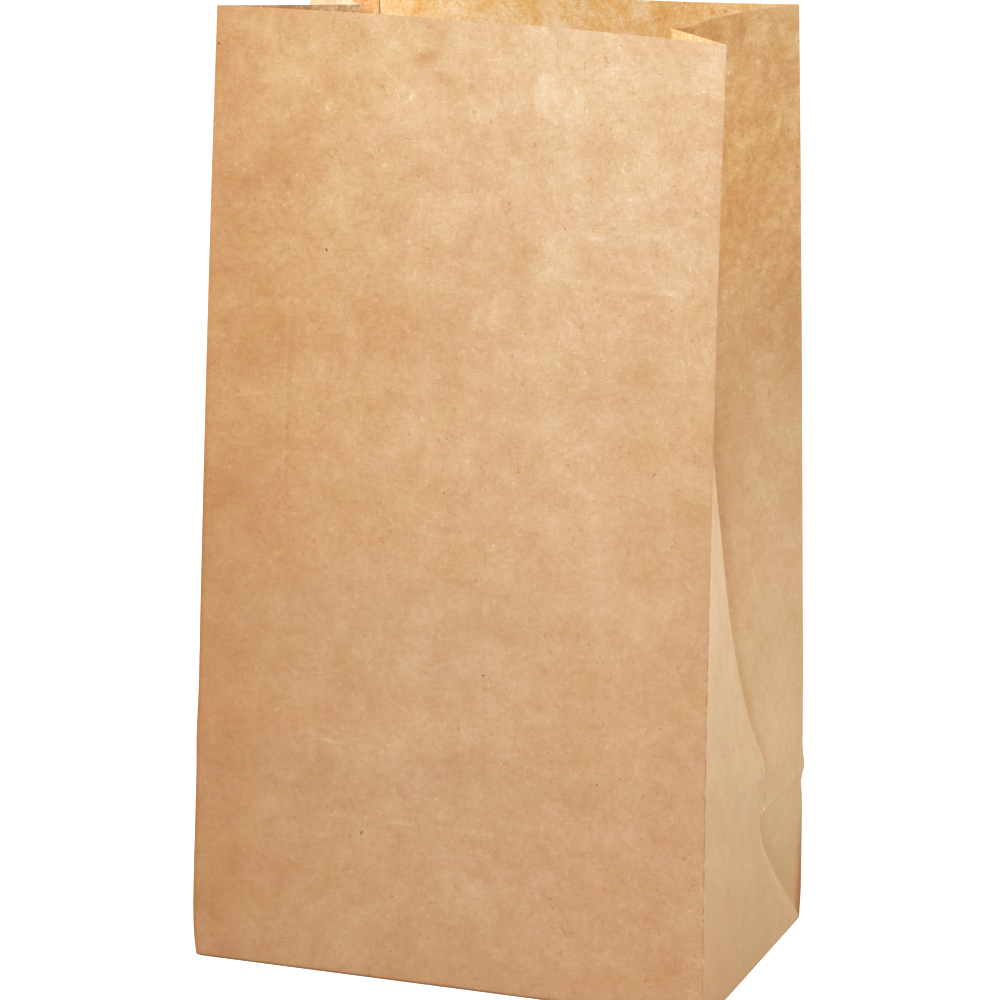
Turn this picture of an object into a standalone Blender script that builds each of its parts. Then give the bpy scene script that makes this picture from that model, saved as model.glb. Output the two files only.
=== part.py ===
"""Brown paper lunch bag, opened and standing on its pasted block bottom.

The bag is one sheet of kraft paper, wrapped into a tube with a glued lap seam,
folded in at both sides and closed by three layers of flaps underneath. Units are
metres, +Z is up, the front panel faces -Y, and the origin is the middle of the
underside.
"""

import math

import bmesh
import bpy

# Driving sizes of the bag
BAG_WIDTH = 0.1524  # front and back panel, corner crease to corner crease
BAG_DEPTH = 0.0915  # side panel, corner crease to corner crease
BAG_HEIGHT = 0.2702  # bottom crease to the cut edge of the mouth
PAPER = 0.00012  # thickness of the sheet

# The lap seam that runs up the back panel
SEAM_EDGE = 0.0252  # left back corner to the free edge inside the bag
SEAM_LAP = 0.0127  # width of the double paper
STEP_RUN = 0.0002  # how sharply the doubled paper starts and ends

# The flaps of the bottom
FLAP_LAP = 0.0140  # overlap of the two long flaps
FLAP_MARGIN = 0.0006  # flap folds stay this far inside the bag's corner creases
FLAP_BITE = 0.00002  # the pasted flaps reach past the inner layer's middle by about this

# How the gussets stand: how far the centre fold is drawn in at the mouth,
# how far it already stands in where it leaves the apex, how far the apex
# swells out, and over which height the fold gets away from it
DRAW_RIGHT = 0.0278
DRAW_LEFT = 0.0302
START_RIGHT = 0.0019
START_LEFT = 0.0104
APEX_SWELL = 0.0018
FOLD_REACH_RIGHT = 0.040
FOLD_REACH_LEFT = 0.024
FOLD_DROP = 1.4  # its slant lowers the fold's end by this times the shallow slope's fall
FOLD_PUFF = 0.0020  # the fold puffs out a little just above the apex
PUFF_HEIGHT = 0.014
PUFF_REACH = 0.010

# How the panels stand
LEFT_RACK = 0.0096  # the sides lean back by this much at the mouth
RIGHT_RACK = 0.0007
RACK_POWER = 0.75
FRONT_BOW = 0.0080  # the panels bow into the bag by this much at the mouth
BACK_BOW = 0.0137
BOW_REACH = 0.125  # the bow has mostly grown at this height
BOW_POWER = 1.16
CREASE_RIDGE = 0.0022  # the cross crease of the back stands out by this much
RIDGE_REACH = 0.008
CORNER_DENT = 0.0032  # the back corner triangles sink in along their diagonal

# Grid of the sheet
ROWS_BELOW_APEX = 6
ROWS_ABOVE_APEX = 15
ROW_GROWTH = 1.15  # above 1 the rows get taller towards the mouth
STEPS_PER_GUSSET_HALF = 6
STEPS_PER_PANEL = 10
SEAM_STEPS = 2
ONE_LAYER = 0.5  # shares of the doubled paper's thickness
TWO_LAYERS = 1.0

PAPER_COLOUR = (0.63, 0.39, 0.205, 1.0)
PAPER_ROUGHNESS = 0.85

HALF_WIDTH = BAG_WIDTH / 2
HALF_DEPTH = BAG_DEPTH / 2
APEX_HEIGHT = HALF_DEPTH  # the block bottom's 45 degree folds end here
FLOOR_HEIGHT = 2.5 * PAPER  # middle of the inner bottom layer


def clear_scene():
    for obj in list(bpy.data.objects):
        bpy.data.objects.remove(obj, do_unlink=True)


def above_apex(height):
    """Height above the apex as a share of the gusset fold's length."""
    return max(0.0, height - APEX_HEIGHT) / (BAG_HEIGHT - APEX_HEIGHT)


def fold_inset(side, height):
    """How far the gusset's centre fold lies inside the side, negative where it swells out.

    A straight line from start to draw, pulled out to the swell near the apex, with a puff.
    """
    draw = DRAW_RIGHT if side > 0 else DRAW_LEFT
    start = START_RIGHT if side > 0 else START_LEFT
    reach = FOLD_REACH_RIGHT if side > 0 else FOLD_REACH_LEFT
    rise = max(0.0, height - APEX_HEIGHT)
    line = start + (draw - start) * above_apex(height)
    swell = (start + APEX_SWELL) * math.exp(-((rise / reach) ** 3))
    puff = FOLD_PUFF * (rise / PUFF_HEIGHT) * math.exp(-(((rise - PUFF_HEIGHT) / PUFF_REACH) ** 2))
    return line - swell - puff


def half_span(side, height):
    """Half the bag's depth at one side: the gusset half keeps its width as it folds in."""
    inset = max(0.0, fold_inset(side, height))
    return math.sqrt(HALF_DEPTH ** 2 - inset ** 2)


def side_centre(side, height):
    """Depth position of a side's middle: the sides lean back towards the mouth."""
    rack = RIGHT_RACK if side > 0 else LEFT_RACK
    return rack * above_apex(height) ** RACK_POWER


def panel_bow(bow, height):
    """Sagitta of a panel's inward bow at one height, which levels off above its reach."""
    return bow * (1 - math.exp(-((height / BOW_REACH) ** BOW_POWER)))


def bow_shortening(bow, height):
    """How much narrower a bowed panel's corners stand, because paper keeps its width."""
    sagitta = panel_bow(bow, height)
    return 8 * sagitta ** 2 / (3 * BAG_WIDTH)


def ridge(height):
    """Outward ridge of the back's cross crease, a tent over the crease."""
    return CREASE_RIDGE * max(0.0, 1 - abs(height - APEX_HEIGHT) / RIDGE_REACH)


def corner(side, back, height):
    """Corner crease at one height, as x and y."""
    bow = BACK_BOW if back else FRONT_BOW
    shift = bow_shortening(bow, height) if side == (1 if back else -1) else 0.0
    x = side * (HALF_WIDTH - shift)
    span = half_span(side, height)
    y = side_centre(side, height) + (span + ridge(height) if back else -span)
    return x, y


def panel_point(back, share, height):
    """Point of the front or back panel; share runs from the left corner to the right."""
    left = corner(-1, back, height)
    right = corner(1, back, height)
    bow = panel_bow(BACK_BOW if back else FRONT_BOW, height)
    inward = 4 * share * (1 - share) * bow
    drop = inward ** 2 / (2 * height) if height > 0 else 0.0
    x = left[0] + (right[0] - left[0]) * share
    y = left[1] + (right[1] - left[1]) * share + (-inward if back else inward)
    return x, y, FLOOR_HEIGHT + height - drop


def corner_dent(back, reach, height):
    """Inward dent of the back corner triangle, deepest along its diagonal."""
    if not back or height <= 0 or height >= APEX_HEIGHT:
        return 0.0
    along = height / APEX_HEIGHT
    return CORNER_DENT * 4 * along * (1 - along) * min(1.0, reach / height)


def gusset_point(side, back, reach, height):
    """Point of a gusset half; reach is the paper's distance from the corner crease."""
    x, y = corner(side, back, height)
    centre = side_centre(side, height)
    share = reach / HALF_DEPTH
    if height <= APEX_HEIGHT:
        swell = APEX_SWELL * min(reach, height) / APEX_HEIGHT
        dent = corner_dent(back, reach, height) if reach <= height else 0.0
        return x + side * (swell - dent), y + (centre - y) * share, FLOOR_HEIGHT + height
    inset = fold_inset(side, height)
    rise = height - APEX_HEIGHT
    drop = FOLD_DROP * (inset + APEX_SWELL) ** 2 / (2 * rise) * share
    fold_x = side * (HALF_WIDTH - inset)
    return x + (fold_x - x) * share, y + (centre - y) * share, FLOOR_HEIGHT + height - drop


def row_heights():
    """Heights of the sheet's rows: even steps up to the apex, then growing ones."""
    below = [APEX_HEIGHT * i / ROWS_BELOW_APEX for i in range(ROWS_BELOW_APEX)]
    above = []
    for i in range(ROWS_ABOVE_APEX + 1):
        share = (i / ROWS_ABOVE_APEX) ** ROW_GROWTH
        above.append(APEX_HEIGHT + (BAG_HEIGHT - APEX_HEIGHT) * share)
    return below + above


def panel_shares():
    """Column places across the panels, with close pairs at both seam edges."""
    inner = SEAM_EDGE / BAG_WIDTH
    outer = (SEAM_EDGE - SEAM_LAP) / BAG_WIDTH
    run = STEP_RUN / BAG_WIDTH
    seam = [outer - run, outer]
    seam += [outer + (inner - outer) * i / SEAM_STEPS for i in range(1, SEAM_STEPS + 1)]
    seam += [inner + run]
    plain = [inner + run + (1 - inner - run) * i / STEPS_PER_PANEL for i in range(1, STEPS_PER_PANEL)]
    return [0.0, outer / 2] + seam + plain + [1.0]


def ring_columns():
    """Columns once round the bag, from the left front corner.

    A panel column holds its kind, whether it is at the back, its share of the width and
    whether it is doubled. A gusset column holds its kind, its side, whether it is in the
    back half, and its distance from the corner crease.
    """
    inner = SEAM_EDGE / BAG_WIDTH
    outer = (SEAM_EDGE - SEAM_LAP) / BAG_WIDTH
    shares = panel_shares()
    steps = STEPS_PER_GUSSET_HALF
    columns = []
    for share in shares[:-1]:
        columns.append(("panel", False, share, False))
    for i in range(steps):
        columns.append(("gusset", 1, False, HALF_DEPTH * i / steps))
    for i in range(steps):
        columns.append(("gusset", 1, True, HALF_DEPTH * (steps - i) / steps))
    for share in reversed(shares[1:]):
        doubled = outer <= share <= inner
        columns.append(("panel", True, share, doubled))
    for i in range(steps):
        columns.append(("gusset", -1, True, HALF_DEPTH * i / steps))
    for i in range(steps):
        columns.append(("gusset", -1, False, HALF_DEPTH * (steps - i) / steps))
    return columns


def column_point(column, height):
    """Point of one column of the sheet at one height."""
    if column[0] == "panel":
        return panel_point(column[1], column[2], height)
    return gusset_point(column[1], column[2], column[3], height)


def add_wall_quad(mesh, low, high, flip):
    """One cell of the wall, split from low left to high right if flip is set, else the other way."""
    a, b = low
    d, c = high
    if flip:
        mesh.faces.new((a, b, c))
        mesh.faces.new((a, c, d))
    else:
        mesh.faces.new((a, b, d))
        mesh.faces.new((b, c, d))


def build_sheet():
    """The bag's sheet: a ring of columns lofted up the rows, and the inner bottom layer."""
    mesh = bmesh.new()
    layers = mesh.verts.layers.deform.verify()
    columns = ring_columns()
    rows = []
    for height in row_heights():
        ring = []
        for column in columns:
            vert = mesh.verts.new(column_point(column, height))
            doubled = column[0] == "panel" and column[3] and height > 0
            vert[layers][0] = TWO_LAYERS if doubled else ONE_LAYER
            ring.append(vert)
        rows.append(ring)
    count = len(columns)
    for low, high in zip(rows[:-1], rows[1:]):
        for i in range(count):
            j = (i + 1) % count
            rising = columns[i][0] == "gusset" and columns[i][2] is False
            on_right = columns[i][0] == "gusset" and columns[i][1] == 1
            flip = rising == on_right
            add_wall_quad(mesh, (low[i], low[j]), (high[i], high[j]), flip)
    add_bottom(mesh, layers, rows[0])
    bmesh.ops.recalc_face_normals(mesh, faces=mesh.faces[:])
    return mesh


def add_bottom(mesh, layers, ring):
    """Inner bottom layer: a flat grid between the front, the back and the two sides."""
    across = len(panel_shares())
    deep = 2 * STEPS_PER_GUSSET_HALF + 1
    front = ring[:across]
    right = ring[across - 1:across - 1 + deep]
    back = list(reversed(ring[across - 1 + deep - 1:2 * across + deep - 2]))
    left = [ring[0]] + list(reversed(ring[2 * across + deep - 3:]))
    grid = [front]
    for j in range(1, deep - 1):
        row = [left[j]]
        for i in range(1, across - 1):
            start = front[i].co
            place = start + (back[i].co - start) * (j / (deep - 1))
            vert = mesh.verts.new(place)
            vert[layers][0] = ONE_LAYER
            row.append(vert)
        row.append(right[j])
        grid.append(row)
    grid.append(back)
    for low, high in zip(grid[:-1], grid[1:]):
        for i in range(across - 1):
            mesh.faces.new((low[i], high[i], high[i + 1], low[i + 1]))


def flap_outline(back):
    """Long flap seen from below: as wide as its crease, with 45 degree sides."""
    facing = 1 if back else -1
    crease_y = facing * (HALF_DEPTH - FLAP_MARGIN)
    end_y = -facing * FLAP_LAP / 2
    crease_x = HALF_WIDTH - FLAP_MARGIN
    end_x = crease_x - abs(crease_y - end_y)
    return [(-crease_x, crease_y), (crease_x, crease_y), (end_x, end_y), (-end_x, end_y)]


def add_flap(name, back, low, high, collection):
    """Long bottom flap as a thin plate that sinks into the layer above it."""
    mesh = bmesh.new()
    mesh.faces.new([mesh.verts.new((x, y, low)) for x, y in flap_outline(back)])
    bmesh.ops.recalc_face_normals(mesh, faces=mesh.faces[:])
    for face in mesh.faces:
        if face.normal.z > 0:
            face.normal_flip()
    data = bpy.data.meshes.new(name)
    mesh.to_mesh(data)
    mesh.free()
    flap = bpy.data.objects.new(name, data)
    collection.objects.link(flap)
    solid = flap.modifiers.new("plate", "SOLIDIFY")
    solid.thickness = high - low
    solid.offset = -1
    flap.hide_render = True
    flap.display_type = "WIRE"
    return flap


def paper_material():
    """Unbleached kraft paper."""
    material = bpy.data.materials.new("kraft_paper")
    material.use_nodes = True
    shader = material.node_tree.nodes["Principled BSDF"]
    shader.inputs["Base Color"].default_value = PAPER_COLOUR
    shader.inputs["Roughness"].default_value = PAPER_ROUGHNESS
    shader.inputs["Metallic"].default_value = 0.0
    return material


def build_bag():
    """The whole bag: the sheet with its thickness, joined to the two long flaps."""
    parts = bpy.data.collections.new("paper_lunch_bag")
    tools = bpy.data.collections.new("bag_flap_plates")
    bpy.context.scene.collection.children.link(parts)
    bpy.context.scene.collection.children.link(tools)

    mesh = build_sheet()
    data = bpy.data.meshes.new("paper_bag")
    mesh.to_mesh(data)
    mesh.free()
    bag = bpy.data.objects.new("paper_bag", data)
    bag.vertex_groups.new(name="paper_layers")
    parts.objects.link(bag)
    data.materials.append(paper_material())

    wall = bag.modifiers.new("paper", "SOLIDIFY")
    wall.thickness = 2 * PAPER
    wall.vertex_group = "paper_layers"
    wall.offset = 0.0
    wall.use_even_offset = True

    flaps = [
        add_flap("front_flap", False, 0.0, FLOOR_HEIGHT - FLAP_BITE, tools),
        add_flap("back_flap", True, PAPER, FLOOR_HEIGHT + FLAP_BITE, tools),
    ]
    for flap in flaps:
        join = bag.modifiers.new(flap.name, "BOOLEAN")
        join.operation = "UNION"
        join.solver = "EXACT"
        join.object = flap
    return bag


clear_scene()
build_bag()
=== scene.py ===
import math

import bpy
import numpy as np
from bpy.props import FloatProperty, FloatVectorProperty, PointerProperty
from mathutils import Matrix


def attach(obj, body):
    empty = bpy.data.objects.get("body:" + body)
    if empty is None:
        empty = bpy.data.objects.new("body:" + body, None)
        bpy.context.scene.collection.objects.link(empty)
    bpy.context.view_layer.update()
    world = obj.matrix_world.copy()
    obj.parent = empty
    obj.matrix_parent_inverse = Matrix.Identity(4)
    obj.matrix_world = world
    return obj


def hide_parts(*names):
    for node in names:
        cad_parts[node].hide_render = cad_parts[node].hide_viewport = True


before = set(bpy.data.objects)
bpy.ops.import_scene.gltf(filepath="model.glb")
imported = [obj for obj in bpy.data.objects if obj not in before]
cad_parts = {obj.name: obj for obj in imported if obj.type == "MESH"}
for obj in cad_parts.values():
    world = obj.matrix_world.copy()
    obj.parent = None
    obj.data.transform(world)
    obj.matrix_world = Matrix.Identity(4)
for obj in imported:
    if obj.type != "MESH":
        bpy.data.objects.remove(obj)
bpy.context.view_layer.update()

bl_info = {
    "name": "Paper Lunch Bag",
    "version": (1, 0, 0),
    "blender": (4, 5, 0),
    "location": "View3D > Sidebar > Lunch Bag",
    "description": "Makes an open block bottom lunch bag of brown kraft paper, and its studio",
    "category": "Add Mesh",
}

NODE = "paper_bag"

# The shape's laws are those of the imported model; lengths are in metres.

# The gusset's fold: how far inside each side its line starts, the wall's swell at the apex
# and how far up that fades, how far the fold sinks, and a puff just over the apex.
START_RIGHT = 0.0019
START_LEFT = 0.0104
APEX_SWELL = 0.0018
FOLD_REACH_RIGHT = 0.040
FOLD_REACH_LEFT = 0.024
FOLD_DROP = 1.4
FOLD_PUFF = 0.0024
PUFF_HEIGHT = 0.0115
PUFF_REACH = 0.0095

# The sides' lean to the back, the panels' bow, and the back's cross crease and its dent.
LEAN_POWER = 0.95
LEAN_BUMP = 0.0013
LEAN_PLACE = 0.052
LEAN_REACH = 0.022
LEAN_START = 0.02
BOW_REACH = 0.125
BOW_POWER = 1.16
CREASE_RIDGE = 0.0026
RIDGE_ABOVE = 0.0065
RIDGE_BELOW = 0.0030
CORNER_DENT = 0.0032
DENT_FADE = 0.005

# The mouth's cut is a little aslant: rise at the middle, and per metre right and back.
MOUTH_TILT = (0.0002, -0.0045, 0.0060)

# The back's right crease stands out a little but for a notch under the cross crease, and
# the right side's bottom edge swells.
PUSH = 0.00035
NOTCH_DROP = 0.0033
NOTCH_REACH = 0.0040
HEEL_SWELL = 0.00125
HEEL_START = 0.08
HEEL_HEIGHT = 0.018

# Base swell of the left side, and the back gusset half's bend at the mouth.
BASE_SWELL = 0.00085
SWELL_HEIGHT = 0.013
BEND_IN = 0.0029
BEND_OUT = 0.0023
BEND_PLACE = 0.0025
BEND_START = 0.008
BEND_POWER = 1.5

# Steps of the grid: the creases get close rows and columns, so that they round off.
GUSSET_STEPS = 24
PANEL_STEPS = 62
BACK_STEPS = 57
LAP_STEPS = 11
RISE_STEPS = 124
ROUND_INNER = 0.00013
ROUND_OUTER = 0.00034
HEM_ROWS = (0.0030, 0.0016)
SEAM_COLUMNS = (0.0012, 0.0005, 0.0)
FLOOR_STEPS = (60, 36)
FLAP_STEPS = (64, 24)

# Where layers meet: the gap between two, the run in which the seam's inner layer tucks
# under, the room about the inner bottom, and half the slope beside its end tabs.
LAYER_GAP = 0.00002
TUCK_RUN = 0.0015
FLOOR_ROOM = 0.00045
TAB_SLOPE = 0.0002
FLOOR_SWELL = 0.00025
FLAP_START = 0.0003
FLAP_ROOM = 0.0006

# The unevenness starts a little above the bottom and fades out beside the creases.
CALM_START = 0.001
CALM_HEIGHT = 0.012
CALM_REACH = 0.006

# The lamps are squares of one size, at one distance from a point in the bag.
LAMP_TARGET = 0.14
LAMP_DISTANCE = 1.35
LAMP_SIZE = 0.8

# The white floor's half side, and how far under the bag it lies.
FLOOR_HALF = 20.0
FLOOR_DROP = 0.00003

# Marks by distance from the front's left crease and height: middle, half length, half
# width, turn and how dark. First the flecks of bark, then pale and dark lines that paint the
# lit and shaded sides of faint wrinkles, with two darker patches near the top.
FLECKS = (
    (0.0344, 0.2049, 0.00065, 0.00032, 1.9, 0.95),
    (0.0852, 0.0905, 0.00045, 0.00034, 0.0, 0.90),
    (0.0878, 0.0889, 0.00026, 0.00022, 0.0, 0.75),
    (0.0859, 0.0866, 0.00026, 0.00020, 0.5, 0.70),
    (0.0504, 0.0417, 0.00085, 0.00048, 1.1, 0.65),
    (0.1203, 0.0638, 0.00038, 0.00030, 0.3, 0.90),
    (0.0596, 0.0893, 0.00026, 0.00020, 0.0, 0.60),
    (0.0370, 0.0611, 0.00026, 0.00020, 0.0, 0.55),
    (0.0076, 0.0568, 0.00030, 0.00024, 0.0, 0.55),
    (0.0863, 0.0425, 0.00028, 0.00020, 1.0, 0.60),
    (0.1073, 0.0294, 0.00055, 0.00022, -0.6, 0.60),
    (0.0187, 0.0062, 0.00028, 0.00022, 0.0, 0.60),
    (0.0010, 0.2598, 0.00045, 0.00045, 0.0, 0.80),
    (0.0378, 0.2292, 0.00150, 0.00012, 1.75, 0.50),
    (0.0130, 0.2176, 0.00090, 0.00016, 1.2, 0.50),
    (0.1348, 0.1523, 0.00110, 0.00018, 0.9, 0.60),
    (0.1898, 0.1940, 0.00028, 0.00024, 0.0, 0.85),
    (0.1833, 0.2640, 0.00035, 0.00030, 0.0, 0.85),
    (0.1925, 0.0367, 0.00060, 0.00028, 0.3, 0.60),
)
WRINKLE_SHADE_MARKS = (
    (0.1287, 0.2024, 0.0260, 0.0019, -0.02, -0.14),
    (0.1300, 0.2006, 0.0230, 0.0015, -0.02, 0.06),
    (0.1154, 0.2149, 0.0052, 0.0011, 0.05, -0.26),
    (0.1300, 0.2170, 0.0160, 0.0012, 0.03, -0.08),
    (0.0393, 0.0673, 0.0060, 0.0009, -0.10, -0.22),
    (0.0330, 0.0690, 0.0080, 0.0010, -0.04, -0.10),
    (0.0222, 0.1446, 0.0100, 0.0014, 0.95, -0.10),
    (0.0235, 0.1700, 0.0600, 0.0009, 1.565, -0.07),
    (0.0247, 0.1600, 0.0500, 0.0014, 1.565, 0.05),
    (0.0700, 0.0473, 0.0620, 0.0012, -0.01, 0.06),
    (0.0750, 0.0456, 0.0620, 0.0010, -0.01, -0.08),
    (0.0615, 0.2594, 0.0055, 0.0034, 0.3, 0.34),
    (0.0680, 0.2540, 0.0055, 0.0024, -0.6, 0.26),
)

# Larger blotches of the front: distance, height, half size and how much deeper.
BLOTCHES = (
    (0.0215, 0.1850, 0.010, 0.12),
    (0.0605, 0.1830, 0.011, 0.19),
    (0.0155, 0.2230, 0.006, 0.14),
    (0.0955, 0.2130, 0.007, 0.12),
    (0.1340, 0.1960, 0.008, 0.14),
    (0.0070, 0.1350, 0.008, 0.18),
    (0.0195, 0.0710, 0.006, 0.13),
    (0.0230, 0.2520, 0.012, -0.10),
    (0.0600, 0.2450, 0.010, -0.11),
    (0.0720, 0.2150, 0.006, -0.10),
    (0.1180, 0.1180, 0.009, -0.09),
    (0.0630, 0.0600, 0.012, -0.08),
    (0.0110, 0.0300, 0.008, 0.09),
    (0.0900, 0.2400, 0.008, 0.09),
    (0.0100, 0.2600, 0.006, -0.06),
)

# The wall's parts, in order from the seam's inner edge round the bag.
LAP, LEFT_BACK, LEFT_FRONT, FRONT, RIGHT_FRONT, RIGHT_BACK, BACK = range(7)

# Tone of each part, partly its own and partly painted light and shade across it: at 0,
# per share of the part's distance, per share of the height, the bend each way and the twist.
TONES_AND_PAINTED_SHADE = {
    LAP: (1.25, -0.20, -0.15, 0.0, 0.0, 0.0),
    LEFT_BACK: (1.10, -0.10, -0.10, 0.10, -0.45, 0.0),
    LEFT_FRONT: (1.15, -0.15, -0.10, 0.10, 0.10, 0.0),
    FRONT: (1.44, -0.79, -0.08, 0.66, -0.12, -0.35),
    RIGHT_FRONT: (1.27, -0.17, -1.19, 0.07, 0.98, 0.34),
    RIGHT_BACK: (1.10, -0.21, -0.13, 0.21, 0.30, 0.20),
    BACK: (1.25, -0.20, -0.15, 0.15, 0.0, 0.0),
}


class LunchBagSizes(bpy.types.PropertyGroup):
    width: FloatProperty(
        name="Width", description="Distance between the left and right creases",
        default=0.1524, min=0.05, unit="LENGTH")
    depth: FloatProperty(
        name="Depth", description="Distance between the front and back creases at the bottom",
        default=0.0915, min=0.03, unit="LENGTH")
    height: FloatProperty(
        name="Height", description="Length of the paper from the bottom crease to the mouth",
        default=0.2702, min=0.1, unit="LENGTH")
    paper: FloatProperty(
        name="Paper", description="Thickness of one layer of paper",
        default=0.00012, min=0.00002, unit="LENGTH")
    draw_right: FloatProperty(
        name="Right Draw", description="How far the right fold lies inside at the mouth",
        default=0.0278, unit="LENGTH")
    draw_left: FloatProperty(
        name="Left Draw", description="How far the left fold lies inside at the mouth",
        default=0.0302, unit="LENGTH")
    lean_right: FloatProperty(
        name="Right Lean", description="How far the right side leans back at the mouth",
        default=0.0007, unit="LENGTH")
    lean_left: FloatProperty(
        name="Left Lean", description="How far the left side leans back at the mouth",
        default=0.0096, unit="LENGTH")
    front_bow: FloatProperty(
        name="Front Bow", description="How far the front's middle is bowed in",
        default=0.0080, unit="LENGTH")
    back_bow: FloatProperty(
        name="Back Bow", description="How far the back's middle is bowed in",
        default=0.0137, unit="LENGTH")
    seam_edge: FloatProperty(
        name="Seam", description="Distance of the seam's inner edge from the left crease",
        default=0.0252, min=0.005, unit="LENGTH")
    seam_lap: FloatProperty(
        name="Seam Lap", description="Width of the double paper at the glued seam",
        default=0.0127, min=0.002, unit="LENGTH")
    flap_lap: FloatProperty(
        name="Flap Lap", description="How far the two bottom flaps overlap",
        default=0.0140, min=0.002, unit="LENGTH")
    cockle: FloatProperty(
        name="Cockle", description="Depth of the paper's broad unevenness",
        default=0.00009, min=0.0, unit="LENGTH")


class KraftPaperLook(bpy.types.PropertyGroup):
    ochre: FloatVectorProperty(
        name="Ochre Clouds", description="Colour of the yellower clouds in the pulp",
        subtype="COLOR", size=4, min=0, max=1, default=(0.645, 0.4045, 0.2155, 1))
    rose: FloatVectorProperty(
        name="Rose Clouds", description="Colour of the redder clouds in the pulp",
        subtype="COLOR", size=4, min=0, max=1, default=(0.653, 0.3925, 0.2285, 1))
    shade_tint: FloatVectorProperty(
        name="Side Tint", description="What the greyer right side's colour is multiplied by",
        subtype="COLOR", size=4, min=0, max=1, default=(0.81, 0.92, 1.0, 1))
    gold_tint: FloatVectorProperty(
        name="Gold Tint", description="What the yellower upper part's colour is multiplied by",
        subtype="COLOR", size=4, min=0, max=1, default=(1.0, 1.0, 0.80, 1))
    fleck: FloatVectorProperty(
        name="Flecks", description="Colour of the rare bark flecks",
        subtype="COLOR", size=4, min=0, max=1, default=(0.16, 0.065, 0.025, 1))
    # Painted light: the lining is paler and yellower than the outside, for light that shines
    # through the paper.
    inside: FloatVectorProperty(
        name="Inside", description="Colour of the inner face, which light shines through",
        subtype="COLOR", size=4, min=0, max=1, default=(0.87, 0.595, 0.27, 1))
    # Painted shade: where the paper is double less light shines through, so the lining there is
    # darker.
    doubled: FloatVectorProperty(
        name="Doubled", description="Colour of the inner face where the paper is double",
        subtype="COLOR", size=4, min=0, max=1, default=(0.84, 0.52, 0.215, 1))
    roughness: FloatProperty(
        name="Roughness", description="Roughness of the matt paper",
        default=0.82, min=0, max=1, subtype="FACTOR")


class StudioLook(bpy.types.PropertyGroup):
    camera_place: FloatVectorProperty(
        name="Camera", description="Place of the camera",
        subtype="XYZ", unit="LENGTH", size=3, default=(0.46502, -1.25675, 0.47617))
    camera_turn: FloatVectorProperty(
        name="Camera Turn", description="Turn to the left, tilt down and roll of the camera",
        subtype="EULER", unit="ROTATION", size=3,
        default=(math.radians(20.332), math.radians(14.462), math.radians(0.124)))
    lens: FloatProperty(
        name="Lens", description="Focal length in millimetres on a 36 mm sensor",
        default=176.034, min=1)
    left_power: FloatProperty(
        name="Left Lamp", description="Power of the soft lamp over the front's left, in watts",
        default=19.5, min=0)
    right_power: FloatProperty(
        name="Right Lamp", description="Power of the soft lamp on the right, in watts",
        default=11.0, min=0)
    back_power: FloatProperty(
        name="Back Lamp", description="Power of the soft lamp behind, in watts",
        default=6.0, min=0)
    sky: FloatProperty(
        name="Sky", description="Strength of the even light from all round",
        default=0.40, min=0)
    floor_colour: FloatVectorProperty(
        name="Floor", description="Colour of the pale floor",
        subtype="COLOR", size=4, min=0, max=1, default=(0.6, 0.6, 0.6, 1))
    floor_lift: FloatProperty(
        name="Floor Lift", description="White that the floor shows in its own shadows",
        default=0.82, min=0)


def smooth(x):
    """Smooth step from 0 to 1: three times x squared less two times x cubed."""
    x = np.clip(x, 0.0, 1.0)
    return x * x * (3 - 2 * x)


def bell(x, middle, width):
    """1 at the middle, and e to the minus square of the distance in widths from it."""
    return np.exp(-(((x - middle) / width) ** 2))


def ripples(along, up, size, seed, waves=28):
    """Uneven field of unit strength: a sum of plane waves about size long, each in a
    random direction with a random phase."""
    draw = np.random.default_rng(seed)
    angle = draw.uniform(0, math.pi, waves)
    length = size * draw.uniform(0.7, 1.6, waves)
    phase = draw.uniform(0, 2 * math.pi, waves)
    turn = 2 * math.pi / length
    total = np.zeros(np.broadcast(along, up).shape)
    for kx, ky, start in zip(turn * np.cos(angle), turn * np.sin(angle), phase):
        total += np.cos(kx * along + ky * up + start)
    return total / math.sqrt(waves / 2)


# ---- shape of the bag


def half_depth(bag):
    return bag.depth / 2


def floor_height(bag):
    """Height of the bottom crease, above the two flaps and half a layer."""
    return 2.5 * bag.paper


def above_apex(bag, height):
    """Height above the apex as a share of the gusset fold's length."""
    apex = half_depth(bag)
    return np.maximum(0.0, height - apex) / (bag.height - apex)


def fold_inset(bag, side, height):
    """Inset of the gusset's fold: a straight line, less a swell that fades with the cube
    of the rise above the apex, less a bell shaped puff."""
    draw = bag.draw_right if side > 0 else bag.draw_left
    start = START_RIGHT if side > 0 else START_LEFT
    reach = FOLD_REACH_RIGHT if side > 0 else FOLD_REACH_LEFT
    rise = np.maximum(0.0, height - half_depth(bag))
    line = start + (draw - start) * above_apex(bag, height)
    swell = (start + APEX_SWELL) * np.exp(-((rise / reach) ** 3))
    puff = FOLD_PUFF * rise / PUFF_HEIGHT * bell(rise, PUFF_HEIGHT, PUFF_REACH)
    return line - swell - puff


def half_span(bag, side, height):
    """Half the depth at one side: the other leg of a right triangle on the gusset half."""
    inset = np.maximum(0.0, fold_inset(bag, side, height))
    return np.sqrt(half_depth(bag) ** 2 - inset ** 2)


def side_centre(bag, side, height):
    """Depth place of a side's middle: a power of the share above the apex, and on the
    left a bell shaped bump about the apex."""
    if side > 0:
        return bag.lean_right * above_apex(bag, height) ** LEAN_POWER
    bump = LEAN_BUMP * bell(height, LEAN_PLACE, LEAN_REACH) * smooth(height / LEAN_START)
    return bag.lean_left * above_apex(bag, height) ** LEAN_POWER + bump


def panel_bow(bow, height):
    """Inward bow of a panel's middle, which rises and levels off exponentially."""
    return bow * (1 - np.exp(-((height / BOW_REACH) ** BOW_POWER)))


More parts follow.
